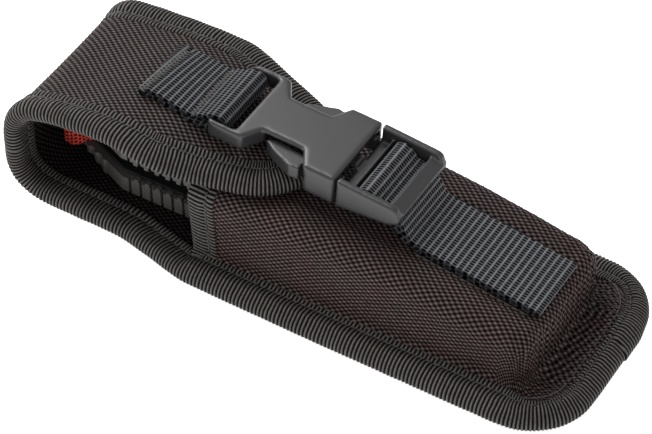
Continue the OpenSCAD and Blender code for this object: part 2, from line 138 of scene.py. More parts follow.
def ripple(u, v, seed):
    """Slow, smooth unevenness between about -1 and 1, from a few fixed waves."""
    rng = np.random.default_rng(seed)
    out = np.zeros(np.broadcast(u, v).shape)
    for _ in range(7):
        length = rng.uniform(11, 38)
        a = rng.uniform(0, TAU)
        out = out + np.sin(TAU * (u * math.cos(a) + v * math.sin(a)) / length + rng.uniform(0, TAU))
    return out / 4.0


def weave(u, v):
    return np.cos(TAU * (u - WEAVE_SKEW * v) / WEAVE_U) * np.cos(TAU * v / WEAVE_V)


def crown(u, v):
    """Woven relief with narrow crowns and wide hollows."""
    return 2.0 * (0.5 + 0.5 * weave(u, v)) ** 1.7 - 0.7


def raw_mesh(name, co, quads, uv):
    me = bpy.data.meshes.new(name)
    me.vertices.add(len(co))
    me.vertices.foreach_set("co", (np.asarray(co) * MM).astype(np.float32).ravel())
    me.loops.add(quads.size)
    me.loops.foreach_set("vertex_index", quads.astype(np.int32).ravel())
    me.polygons.add(len(quads))
    me.polygons.foreach_set("loop_start", np.arange(0, quads.size, 4, dtype=np.int32))
    me.update(calc_edges=True)
    layer = me.uv_layers.new(name="weave")
    layer.data.foreach_set("uv", uv.astype(np.float32).ravel())
    me.validate()
    return me


def grid_arrays(points, uv, wrap=False):
    """Vertices, quads and loop UVs of a grid of points. With wrap, columns close on themselves."""
    nu, nv = points.shape[:2]
    i, j = np.meshgrid(np.arange(nu - 1), np.arange(nv if wrap else nv - 1), indexing="ij")
    k = (j + 1) % nv
    quads = np.stack([i * nv + j, (i + 1) * nv + j, (i + 1) * nv + k, i * nv + k], -1)
    uv_loops = np.stack([uv[i, j], uv[i + 1, j], uv[i + 1, j + 1], uv[i, j + 1]], -2)
    return points.reshape(-1, 3), quads.reshape(-1, 4), uv_loops.reshape(-1, 2)


def show(ob):
    bpy.context.scene.collection.objects.link(ob)


def cover_with(me, material):
    me.materials.clear()
    me.materials.append(material)


def link(name, me, material, weld=0.0, fill=True, turn=True):
    """Links a mesh as an object: welds doubles, closes holes and turns the faces outward."""
    bm = bmesh.new()
    bm.from_mesh(me)
    if weld:
        bmesh.ops.remove_doubles(bm, verts=bm.verts, dist=weld * MM)
    if fill:
        bmesh.ops.holes_fill(bm, edges=[e for e in bm.edges if e.is_boundary], sides=0)
    if turn:
        bmesh.ops.recalc_face_normals(bm, faces=bm.faces)
    for f in bm.faces:
        f.smooth = True
    bm.to_mesh(me)
    bm.free()
    cover_with(me, material)
    ob = bpy.data.objects.new(name, me)
    show(ob)
    return ob


def grid_piece(name, points, uv, material, wrap=False, **how):
    return link(name, raw_mesh(name, *grid_arrays(points, uv, wrap)), material, **how)


def merged(name, parts, material, **how):
    """One object from several grids, each given as (points, uv, wrap)."""
    co, quads, uvs, base = [], [], [], 0
    for points, uv, wrap in parts:
        c, q, t = grid_arrays(points, uv, wrap)
        co.append(c)
        quads.append(q + base)
        uvs.append(t)
        base += len(c)
    return link(name, raw_mesh(name, np.vstack(co), np.vstack(quads), np.vstack(uvs)), material, **how)


def shade_lining(ob, inside, plain=1.0):
    """Second UV layer holding a tone of painted shade: darker on the faces for which inside is true."""
    layer = ob.data.uv_layers.new(name="tone")
    corners = np.zeros(len(ob.data.polygons), np.int32)
    ob.data.polygons.foreach_get("loop_total", corners)
    lined = np.zeros(len(corners), bool)
    lined[:len(inside)] = inside[:len(corners)]
    tone = np.where(np.repeat(lined, corners), PAINTED_SHADE_TONE, plain)
    layer.data.foreach_set("uv", np.repeat(tone, 2).astype(np.float32))


def stand_for(ob, slot, *cad_nodes):
    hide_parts(*cad_nodes)


# ---- materials

class Paint:
    """A small builder for node materials."""

    def __init__(self, name):
        self.mat = bpy.data.materials.new(name)
        self.mat.use_nodes = True
        self.tree = self.mat.node_tree
        self.bsdf = self.tree.nodes["Principled BSDF"]

    def node(self, kind, **inputs):
        n = self.tree.nodes.new(kind)
        for key, value in inputs.items():
            self.put(n.inputs[key.replace("_", " ")], value)
        return n

    def put(self, socket, value):
        if isinstance(value, bpy.types.NodeSocket):
            self.tree.links.new(value, socket)
        else:
            socket.default_value = value

    def math(self, op, a, b=0.0, c=0.0, clamp=False):
        n = self.tree.nodes.new("ShaderNodeMath")
        n.operation = op
        n.use_clamp = clamp
        for socket, value in zip(n.inputs, (a, b, c)):
            self.put(socket, value)
        return n.outputs[0]

    def scaled(self, a, b, c):
        """a b + c"""
        return self.math("MULTIPLY_ADD", a, b, c)

    def wave(self, t, period):
        """cos(tau t / period) * 0.5 + 0.5"""
        phase = self.math("MULTIPLY", t, TAU / period)
        return self.scaled(self.math("COSINE", phase), 0.5, 0.5)

    def uv(self, layer="weave"):
        n = self.tree.nodes.new("ShaderNodeUVMap")
        n.uv_map = layer
        s = self.node("ShaderNodeSeparateXYZ", Vector=n.outputs[0])
        return s.outputs[0], s.outputs[1]

    def place(self):
        return self.tree.nodes.new("ShaderNodeTexCoord").outputs["Object"]

    def noise(self, scale, detail=3.0, vector=None):
        n = self.node("ShaderNodeTexNoise", Vector=vector or self.place(), Scale=scale, Detail=detail)
        return n.outputs["Fac"]

    def mix(self, factor, a, b):
        n = self.tree.nodes.new("ShaderNodeMix")
        n.data_type = "RGBA"
        self.put(n.inputs[0], factor)
        self.put(n.inputs[6], a)
        self.put(n.inputs[7], b)
        return n.outputs[2]

    def shade(self, colour, factor):
        """colour times a grey factor"""
        n = self.tree.nodes.new("ShaderNodeVectorMath")
        n.operation = "SCALE"
        self.put(n.inputs[0], colour)
        self.put(n.inputs[3], factor)
        return n.outputs[0]

    def bump(self, height, depth_mm, strength=1.0):
        n = self.node("ShaderNodeBump", Height=height, Strength=strength, Distance=depth_mm * MM)
        self.tree.links.new(n.outputs[0], self.bsdf.inputs["Normal"])

    def set(self, **inputs):
        for key, value in inputs.items():
            self.put(self.bsdf.inputs[key.replace("_", " ")], value)


def srgb(r, g, b):
    lin = [((c / 255 + 0.055) / 1.055) ** 2.4 if c > 10 else c / 255 / 12.92 for c in (r, g, b)]
    return (*lin, 1.0)


def fabric_material(name, warm):
    p = Paint(name)
    u, v = p.uv()
    skewed = p.scaled(v, -WEAVE_SKEW, u)
    a = p.math("COSINE", p.math("MULTIPLY", skewed, TAU / WEAVE_U))
    b = p.math("COSINE", p.math("MULTIPLY", v, TAU / WEAVE_V))
    cell = p.scaled(p.math("MULTIPLY", a, b), 0.5, 0.5)
    yarn = p.wave(v, 0.29)
    cloud = p.noise(55.0, 4.0)
    speck = p.noise(800.0, 2.0)
    height = p.scaled(yarn, 0.12, p.scaled(speck, 0.35, cell))
    # Partly painted shade: the crowns carry the cloth's own colour, while the hollows between the yarns are
    # drawn near black as painted shade and given little specular
    lit = p.math("POWER", cell, 2.2)
    face = p.mix(p.math("MULTIPLY", cloud, warm, clamp=True), srgb(82, 77, 76), srgb(93, 67, 64))
    colour = p.mix(lit, srgb(5, 4, 4), face)
    tone = p.scaled(speck, 1.5, 0.25)
    # The speck's random tone is multiplied by the painted shade held in the tone layer, which also dims the
    # specular below
    tone = p.math("MULTIPLY", tone, p.uv("tone")[0])
    p.set(Base_Color=p.shade(colour, tone))
    p.set(Roughness=p.scaled(cell, -0.2, 0.75))
    p.set(Specular_IOR_Level=p.math("MULTIPLY", p.scaled(lit, 0.4, 0.03), p.uv("tone")[0]))
    p.bump(height, 0.2, 0.8)
    return p.mat


def tape_material():
    p = Paint("grosgrain_tape")
    u, v = p.uv()
    rib = p.wave(u, RIB)
    cross = p.wave(v, 0.42)
    speck = p.noise(1000.0, 2.0)
    cloud = p.noise(70.0, 3.0)
    lit = p.math("POWER", rib, 1.7)
    height = p.scaled(cross, 0.18, p.scaled(speck, 0.3, rib))
    face = p.mix(cloud, srgb(90, 86, 83), srgb(70, 65, 63))
    # Painted shade: the grooves between the ribs are drawn near black and given little specular
    colour = p.mix(lit, srgb(7, 6, 6), face)
    p.set(Base_Color=p.shade(colour, p.scaled(speck, 1.2, 0.4)))
    p.set(Roughness=p.scaled(rib, -0.2, 0.75))
    p.set(Specular_IOR_Level=p.scaled(lit, 0.4, 0.03))
    p.bump(height, 0.18, 0.7)
    return p.mat


def webbing_material(name, ridge, tick, gap, rib_pitch=WEB_RIB, tick_pitch=WEB_TICK):
    p = Paint(name)
    u, v = p.uv()
    rib = p.wave(u, rib_pitch)
    row = p.math("FLOOR", p.math("DIVIDE", u, rib_pitch))
    shifted = p.scaled(row, 0.45 * tick_pitch, v)
    bead = p.wave(shifted, tick_pitch)
    fibre = p.wave(v, 0.31)
    speck = p.noise(900.0, 2.0)
    crest = p.math("POWER", rib, 4.5)
    ticks = p.math("POWER", bead, 2.0)
    valley = p.math("SUBTRACT", 1.0, rib)
    low = p.math("MULTIPLY", valley, bead)
    # Painted shade: the gap colour darkens the valleys between the ribs, and the crests get most of the
    # specular
    colour = p.mix(crest, p.mix(ticks, gap, tick), ridge)
    tone = p.scaled(bead, 0.3, p.scaled(speck, 1.2, 0.2))
    # Painted shade: the tone layer darkens the selvedges and some whole straps, and dims their specular
    tone = p.math("MULTIPLY", tone, p.uv("tone")[0])
    p.set(Base_Color=p.shade(colour, tone))
    p.set(Roughness=p.scaled(crest, -0.2, 0.7))
    shine = p.math("MAXIMUM", crest, p.math("MULTIPLY", ticks, 0.5))
    p.set(Specular_IOR_Level=p.math("MULTIPLY", p.scaled(shine, 0.45, 0.02), p.uv("tone")[0]))
    height = p.scaled(low, 0.6, p.scaled(fibre, 0.14, rib))
    p.bump(height, 0.22, 0.8)
    return p.mat


def plastic_material(name, tone, rough, grain=0.03):
    p = Paint(name)
    fine = p.noise(2600.0, 2.0)
    cloud = p.noise(90.0, 3.0)
    p.set(Base_Color=p.mix(cloud, srgb(*tone), srgb(*[c * 0.88 for c in tone])))
    p.set(Roughness=p.scaled(fine, 0.14, rough))
    p.set(Specular_IOR_Level=0.5)
    p.bump(fine, grain, 0.6)
    return p.mat


def steel_material(name, tone, rough):
    p = Paint(name)
    stretched = p.node("ShaderNodeMapping", Vector=p.place())
    stretched.inputs["Scale"].default_value = (60.0, 1800.0, 1800.0)
    brushed = p.noise(1.0, 2.0, stretched.outputs[0])
    p.set(Base_Color=p.mix(brushed, srgb(*tone), srgb(*[c * 0.8 for c in tone])))
    p.set(Metallic=1.0, Roughness=p.scaled(brushed, 0.2, rough))
    p.bump(brushed, 0.01, 0.4)
    return p.mat


def thread_material():
    p = Paint("sewing_thread")
    u, v = p.uv()
    twist = p.wave(p.math("ADD", u, v), 0.45)
    p.set(Base_Color=p.mix(twist, srgb(20, 19, 19), srgb(84, 82, 80)))
    p.set(Roughness=p.scaled(twist, -0.15, 0.65))
    p.bump(twist, 0.05, 0.7)
    return p.mat


def board_material():
    p = Paint("stiffener_board")
    fibres = p.noise(300.0, 5.0)
    p.set(Base_Color=p.mix(fibres, srgb(30, 30, 30), srgb(58, 56, 54)))
    p.set(Roughness=p.scaled(fibres, 0.2, 0.7))
    p.bump(fibres, 0.05, 0.5)
    return p.mat


FABRIC = fabric_material("ballistic_cloth", 0.55)
POCKET_FABRIC = fabric_material("ballistic_cloth_pocket", 1.15)
TAPE = tape_material()
# The last colour given to each webbing is the painted shade in its valleys
WEBBING = webbing_material("webbing_cloth", srgb(97, 98, 102), srgb(72, 73, 76), srgb(3, 3, 3))
RED = webbing_material("red_tape_cloth", srgb(196, 66, 50), srgb(170, 54, 42), srgb(50, 10, 9), 1.5, 1.5)
THREAD = thread_material()
BUCKLE = plastic_material("buckle_moulding", (41, 40, 42), 0.24, 0.05)
GRIP = plastic_material("grip_moulding", (66, 64, 62), 0.36)
STEEL = steel_material("tool_metal", (150, 150, 152), 0.32)
DARK_STEEL = steel_material("tool_metal_dark", (52, 52, 54), 0.45)
BOARD = board_material()


# ---- the shell: back panel, fold and flap

def lift(x):
    """Height the back panel gains towards the fold."""
    return 1.5 * float(ease(30.0, -85.0, x))


def shell_path():
    """Middle line of the padded shell in X and Z, from the foot round the fold to the flap's tip."""
    flap = [(-79, 47.2), (-70, 49.0), (-61, 49.9), (-50, 49.5), (-42, 47.8), (-36, 46.1),
            (-24, 44.2), (-12, 42.8), (4, 40.9)]
    sole = [(x, MID_Z + lift(x)) for x in np.linspace(FOOT_X + 1.0, BEND_X, 60)]
    low_turn = arc(0, 0, 1, 270, 180) * [BEND_R, LOW_BEND_Z - sole[-1][1]] + [BEND_X, LOW_BEND_Z]
    line = np.vstack([sole, low_turn, arc(BEND_X, HIGH_BEND_Z, BEND_R, 180, 95), flap])
    return gauss(resample(line, 0.25), 8)


PATH = shell_path()
PATH_S = lengths(PATH) - 1.0
WALL = int(np.argmin(PATH[:, 0]))
SPLIT_S = float(np.interp(SPLIT_Z, PATH[WALL - 20:WALL + 20, 1], PATH_S[WALL - 20:WALL + 20]))
UPPER = PATH_S > SPLIT_S
# How far the flap's edges hang below its middle, along X, on the near and far sides
DROP_X = [-102, -95, -86, -76, -66, -58, -50, -42, -36, -24, -6]
NEAR_DROP = [-0.6, -2.0, -2.7, -1.8, -0.4, 0.9, 2.8, 4.3, 4.6, 4.2, 3.6]
FAR_DROP = [0, 0.3, 1.2, 3.0, 4.4, 4.7, 4.5, 3.5, 2.6, 2.5, 2.8]


def flap_s(x):
    return float(np.interp(x, PATH[UPPER, 0], PATH_S[UPPER]))


def flap_sag(x, y):
    """How far the flap hangs below its middle line at x and y."""
    drop = np.where(y < 0, np.interp(x, DROP_X, NEAR_DROP), np.interp(x, DROP_X, FAR_DROP))
    return drop * (np.abs(y) / TOP_HALF) ** 2


def shell_middle(s, y):
    x = np.interp(s, PATH_S, PATH[:, 0])
    z = np.interp(s, PATH_S, PATH[:, 1])
    return np.stack([x, y + 0 * x, z - flap_sag(x, y) * ease(SPLIT_S, SPLIT_S + 8.0, s)], -1)


def shell(s, y, n):
    """Point of the shell at s along it and y across it, n outward from its middle."""
    s, y, n = np.broadcast_arrays(s, y, n)
    along = shell_middle(s + 0.6, y) - shell_middle(s - 0.6, y)
    across = shell_middle(s, y + 0.6) - shell_middle(s, y - 0.6)
    return shell_middle(s, y) + unit(np.cross(along, across)) * n[..., None]


def shell_outline():
    """Closed outline in s and y, from the near side of the split by way of the foot and the flap's tip."""
    shoulder, centre = flap_s(-49.0), flap_s(TONGUE_X)
    dx = shoulder - centre
    a = math.degrees(math.atan2(TOP_HALF, dx)) - math.degrees(math.acos(TONGUE_R / math.hypot(dx, TOP_HALF)))
    near = np.vstack([
        [(SPLIT_S, -TOP_HALF), (FOOT_X + 60, -TOP_HALF), (FOOT_X + 34, -PANEL_HALF)],
        arc(FOOT_R, -(PANEL_HALF - FOOT_R), FOOT_R, 270, 180),
        [(0, 0)],
    ])
    tip = np.vstack([
        [(SPLIT_S, TOP_HALF), (shoulder, TOP_HALF)],
        arc(centre, 0, TONGUE_R, a, 0),
    ])
    mirror = np.array([1, -1])
    loop = np.vstack([near, near[-2::-1] * mirror, tip[1:], tip[-2:0:-1] * mirror, near[:1]])
    loop = resample(loop, OUTLINE_STEP)[:-1]
    return gauss(loop, 3.0 / OUTLINE_STEP, closed=True)


OUTLINE = shell_outline()
TANGENT = unit(np.roll(OUTLINE, -2, 0) - np.roll(OUTLINE, 2, 0))
INWARD = np.stack([TANGENT[:, 1], -TANGENT[:, 0]], 1)
if np.sum(INWARD * (np.array([[120.0, 0.0]]) - OUTLINE)) < 0:
    INWARD = -INWARD
ARC_LEN = np.arange(len(OUTLINE)) * OUTLINE_STEP
LOWER_RANGE = np.arange(0, int(np.argmax((OUTLINE[:, 0] > SPLIT_S) & (ARC_LEN > 60))) + 1)
UPPER_RANGE = np.arange(LOWER_RANGE[-1], len(OUTLINE) + 1)


def inset_half(s, inset, part):
    """Half width of the shell at s, drawn in by inset, on the lower or upper part."""
    edge = (OUTLINE + INWARD * inset)[part % len(OUTLINE)]
    edge = edge[edge[:, 1] < 0]
    order = np.argsort(edge[:, 0])
    return np.interp(s, edge[order, 0], -edge[order, 1])


def tape_side(extra=0.0):
    """Outer side of the tape's section: distance in from the edge, and height from the shell's middle."""
    pts = [(0, 0), (0.16, 1.0), (0.9, 2.2), (2.2, 3.0), (3.8, 3.3), (5.6, 3.15), (7.0, 2.75),
           (7.7, 2.35), (8.0, 2.2), (8.3, 2.35), (9.0, 2.6), (10.2, 2.65), (10.9, 2.5),
           (11.1, 2.1), (10.9, 1.6)]
    pts = np.array(pts, float)
    pts[:, 1] += extra * ease(1.0, 5.0, pts[:, 0])
    return pts


def section_loop(pts_out, pts_in, count):
    """Closed section of the tape from both sides, evenly sampled."""
    loop = np.vstack([pts_out[::-1], (pts_in * [1, -1])[1:]])
    return resample(gauss(resample(loop, 0.1), 1.5), count=count)


# Distance of the seam in from the edge, and how much higher the tape stands on the pocket's flange
STITCH_U = 8.0
FLANGE_RISE = 1.25
TAPE_POINTS = 54
# Where along the outline the tape's end laps over its start, at the foot
JOINT_AT = float(ARC_LEN[int(np.argmin(np.hypot(OUTLINE[:, 0], OUTLINE[:, 1] - 6.0)))])


def binding(name, part, stitches_name):
    """Ribbed tape folded over one part of the shell's outline, and its two rows of stitches."""
    plain = section_loop(tape_side(), tape_side(), TAPE_POINTS)
    thick = section_loop(tape_side(), tape_side(FLANGE_RISE), TAPE_POINTS)
    idx = part % len(OUTLINE)
    base, inward = OUTLINE[idx], INWARD[idx]
    sigma = part * OUTLINE_STEP
    x = np.interp(base[:, 0], PATH_S, PATH[:, 0])
    on_flange = np.where(base[:, 0] < SPLIT_S, ease(-38, -30, x), 0.0)[:, None]
    u, n = (plain[None, :, k] * (1 - on_flange) + thick[None, :, k] * on_flange for k in (0, 1))
    at_foot = (ease(24.0, 8.0, base[:, 0]) * (base[:, 0] < SPLIT_S))[:, None]
    groove = STITCH_U - 2.0 * at_foot
    u = u - 3.4 * at_foot * ease(4.0, 11.0, u)
    du, dn = np.gradient(u, axis=1), np.gradient(n, axis=1)
    size = np.hypot(du, dn)
    nu, nn = -dn / size, du / size
    if np.mean(nn[:, :10] * np.sign(n[:, :10])) < 0:
        nu, nn = -nu, -nn
    side = np.sign(n)
    lip = ease(groove - 0.4, groove + 0.6, u)
    phase = sigma[:, None] + 0.4 * lip * side + 0.12 * ripple(sigma[:, None] * 2, u * 3, 3)
    ribs = np.cos(TAU * phase / RIB)
    buried = ease(11.1, 10.6, plain[None, :, 0]) * ease(1.0, 1.9, np.abs(n) + 3 * (u < 9))
    pull = np.exp(-((u - groove) / 0.55) ** 2) * (0.55 + 0.45 * np.cos(TAU * sigma / STITCH_PITCH))[:, None]
    swollen = ease(2.0, 4.0, u) * ease(7.6, 6.0, u)
    bend = np.abs(np.gradient(np.unwrap(np.arctan2(inward[:, 1], inward[:, 0]))))[:, None]
    pucker = gauss(np.minimum(bend * 60, 1.0), 12)
    joint = sigma[:, None] - JOINT_AT - 0.35 * (u - 4.0)
    out = 0.55 * ease(0.0, 0.5, joint) * ease(16.0, 8.0, joint) * ease(11.2, 10.4, u)
    uneven = 0.16 * ripple(sigma[:, None] * 1.7, u, 11) * (0.4 + 0.6 * swollen)
    out = out + 0.19 * ribs * buried - 0.22 * pull + uneven
    out = out + 0.28 * pucker * swollen * np.sin(TAU * sigma / 6.1)[:, None]
    out = out + 0.2 * swollen * np.sin(TAU * sigma / STITCH_PITCH + 0.4)[:, None] * ease(4.5, 7.2, u)
    u2, n2 = u + nu * out, n + nn * out
    s = base[:, 0:1] + inward[:, 0:1] * u2
    y = base[:, 1:2] + inward[:, 1:2] * u2
    points = shell(s, y, n2)
    steps = np.hypot(np.diff(u, axis=1), np.diff(n, axis=1))
    around = np.concatenate([np.zeros((len(u), 1)), np.cumsum(steps, axis=1)], 1)
    around = np.concatenate([around, around[:, -1:] + 0.3], 1)
    uv = np.stack([np.concatenate([phase, phase[:, -1:]], 1), around], -1)
    piece = grid_piece(name, points, uv, TAPE, wrap=True)

    rows = []
    for face in (1, -1):
        extra = (FLANGE_RISE * on_flange[:, 0]) if face < 0 else 0 * sigma
        rows += stitch_row(base, inward, sigma, groove[:, 0], face, 2.32 + extra, STITCH_PITCH)
    thread = merged(stitches_name, rows, THREAD, fill=False)
    return piece, thread


def stitch_row(base, inward, sigma, inset, face, height, pitch):
    """Stitches along the outline, each a short arched thread on the shell's given face."""
    rows = []
    tangent = np.stack([-inward[:, 1], inward[:, 0]], 1)
    start, stop = sigma[0] + 1.0, sigma[-1] - 1.0
    t = np.linspace(-1, 1, 6)
    ring = np.linspace(0, TAU, 7)
    for centre in np.arange(start, stop, pitch):
        k = int(np.clip(round((centre - sigma[0]) / OUTLINE_STEP), 0, len(base) - 1))
        at = base[k] + inward[k] * (inset[k] if np.ndim(inset) else inset)
        h = height[k] if np.ndim(height) else height
        r = STITCH_RADIUS * np.sqrt(np.clip(1 - t ** 4, 0.02, 1))
        along = t[:, None] * STITCH_LENGTH / 2 + 0 * ring[None, :]
        side = r[:, None] * np.cos(ring)[None, :]
        rise = h + 0.12 - 0.3 * t[:, None] ** 2 + r[:, None] * np.sin(ring)[None, :]
        s = at[0] + tangent[k, 0] * along + inward[k, 0] * side
        y = at[1] + tangent[k, 1] * along + inward[k, 1] * side
        pts = shell(s, y, face * rise)
        uv = np.stack([along + centre, np.broadcast_to(ring, along.shape) * STITCH_RADIUS], -1)
        rows.append((pts, uv, False))
    return rows


def panel_points(s_rows, part, inset, low, high, n_top, n_low, woven):
    """A padded layer of the shell as a closed tube of rows: the outer face, then the inner face."""
    half = inset_half(s_rows, inset, part)
    top = np.linspace(-1, 1, n_top)
    bottom = np.linspace(1, -1, n_low)
    cross = np.concatenate([top, bottom])[None, :]
    outer = np.concatenate([np.ones(n_top), np.zeros(n_low)])[None, :]
    y = cross * half[:, None]
    s = s_rows[:, None] + 0 * y
    edge = ease(0.0, 6.5, half[:, None] - np.abs(y))
    n = np.where(outer > 0, high, low)
    if woven:
        swell = (0.25 + 0.2 * ripple(s, y, 5)) * edge - 0.25 * (1 - edge)
        n = n + np.where(outer > 0, swell, -swell * 0.5)
        n = n + np.where(outer > 0, 1.0, -1.0) * 0.19 * crown(s, y) * edge
    points = shell(s, y, n)
    uv = np.stack([s, y], -1)
    return points, np.concatenate([uv, uv[:, :1]], 1)


# ---- building the shell

# The panels end this far inside the outline, under the tape
PANEL_INSET = 6.5
# The back panel's inner face lies lower than the flap's, so that the tool slides clear of it
BACK_INNER = 1.1


def padded_panel(name, rows, part, low, high, n_outer, n_inner):
    """A woven panel of the shell, its inner face darkened with painted shade."""
    points, uv = panel_points(rows, part, PANEL_INSET, low, high, n_outer, n_inner, True)
    piece = grid_piece(name, points, uv, FABRIC, wrap=True)
    cells = n_outer + n_inner
    column = np.arange((len(rows) - 1) * cells) % cells
    shade_lining(piece, column >= n_outer)
    return piece


foot_s = 7.0
# Beyond this length from the foot the rows lie closer together
fine_s = 125
tip_s = flap_s(TONGUE_X) + TONGUE_R - 6.6
lower_rows = np.concatenate([np.arange(foot_s, fine_s, 0.9), np.arange(fine_s, SPLIT_S, STEP), [SPLIT_S]])
upper_rows = np.arange(SPLIT_S, tip_s, STEP)
# The back panel is fuller underneath near the fold, where the stiffener board lies low in it
cover = HALF_T + 0.7 * ease(105.0, 145.0, lower_rows) * ease(202.0, 191.0, lower_rows)
panel_lower = padded_panel("panel_lower", lower_rows, LOWER_RANGE, -BACK_INNER, cover[:, None], 92, 92)
panel_upper = padded_panel("panel_upper", upper_rows, UPPER_RANGE, -HALF_T, HALF_T, 128, 60)
stand_for(panel_lower, "pouch_fabric", "back_panel", "fold_panel")
stand_for(panel_upper, "pouch_fabric", "flap_panel")

board_rows = np.arange(flap_s(-82.0), flap_s(-12.0), 1.5)
board_points, board_uv = panel_points(board_rows, UPPER_RANGE, 11.0, -0.7, 0.7, 30, 30, False)
flap_board = grid_piece("flap_board", board_points, board_uv, BOARD, wrap=True)
stand_for(flap_board, "stiffener_board", "flap_stiffener")
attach(flap_board, "flap")

binding_lower, stitches_lower = binding("binding_lower", LOWER_RANGE, "binding_stitches_lower")
binding_upper, stitches_upper = binding("binding_upper", UPPER_RANGE, "binding_stitches_upper")
stand_for(binding_lower, "binding_tape", "back_binding", "fold_binding")
stand_for(binding_upper, "binding_tape", "flap_binding")

for piece in (panel_lower, binding_lower, stitches_lower):
    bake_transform(piece)
for piece in (panel_upper, binding_upper, stitches_upper):
    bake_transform(piece)


# ---- the pocket

MOUTH_LOW_X, MOUTH_HIGH_X = -34.2, -37.2
POCKET_END_X = 82.4
CORNER_R = 8.5
SPINE_END_X = 66.0
# The flange ends this far inside the outline, under the tape
FLANGE_INSET = 5.5
# Columns of the pocket's grid on its flange, wall and top
N_FLANGE, N_WALL, N_TOP = 13, 74, 38
# First column of the pocket's lining, clear of the flange
LINING_FROM = 8
# Kinds of row round the pocket's base
SIDE_ROW, CORNER_ROW, FOOT_ROW = 0, 1, 2


def base_half(x):
    return 27.5 - 1.0 * np.clip((x - 20.0) / 64.0, 0, 1)


def puff(x, y):
    """Rise of the pocket's top on both sides of the strap, growing from the mouth on."""
    return 1.1 * ease(11.8, 16.5, np.abs(y)) * ease(-41, 10, x)


def plateau(x):
    """Height of the pocket's top, which falls gently from the mouth and more past x = 30."""
    soft = 6.0
    bent = soft * np.logaddexp(0, (x - 30.0) / soft)
    return 38.0 - (x + 41.0) * 0.0225 - bent * 0.13


def base_rows(corner_x, corner_y):
    """Rows round the base from the near side: x, y, facing in degrees, kind and place on the spine."""
    def corner(a, side):
        x = corner_x + CORNER_R * math.sin(math.radians(a))
        y = side * (corner_y + CORNER_R * math.cos(math.radians(a)))
        return (x, y, a if side < 0 else 180 - a, CORNER_ROW, corner_x)

    line_x = np.arange(MOUTH_LOW_X, corner_x, STEP)
    rows = [(x, -float(base_half(x)), 0.0, SIDE_ROW, x) for x in line_x]
    rows += [corner(a, -1) for a in np.linspace(0, 90, 42)[:-1]]
    rows += [(POCKET_END_X, y, 90.0, FOOT_ROW, corner_x) for y in np.arange(-corner_y, corner_y, STEP)]
    rows += [corner(a, 1) for a in np.linspace(90, 0, 42)[:-1]]
    rows += [(x, float(base_half(x)), 180.0, SIDE_ROW, x) for x in line_x[::-1]]
    return np.array(rows, float)


def wall_section(inset, top, fillet, round_r, footness):
    """Section of the wall as distance inward and height, from the flange up to the edge of the top."""
    section = np.vstack([
        [(-fillet - 1.5, FLANGE_Z)],
        arc(-fillet, FLANGE_Z + fillet, fillet, 270, 360, 10),
        arc(inset, top - round_r, round_r, 180 - 6 * (1 - footness), 90, 16),
        [(inset + 1.5, top + 0.1)],
    ])
    section = gauss(resample(section, 0.3), 2.4 + 0.6 * footness)
    return resample(section, count=N_WALL)


def flange_start(kind, x, y, nx, ny, corner_y):
    """Where the flange of a row begins, under the tape of the outline."""
    flat_half = PANEL_HALF - FOOT_R
    if kind == SIDE_ROW:
        half = float(inset_half(np.array([FOOT_X - x]), FLANGE_INSET, LOWER_RANGE)[0])
        return x, math.copysign(half, y)
    if kind == CORNER_ROW:
        turned = FOOT_R - FLANGE_INSET
        return (FOOT_X - FOOT_R) + turned * nx, math.copysign(flat_half, y) + turned * ny
    return FOOT_X - FLANGE_INSET, y * flat_half / corner_y


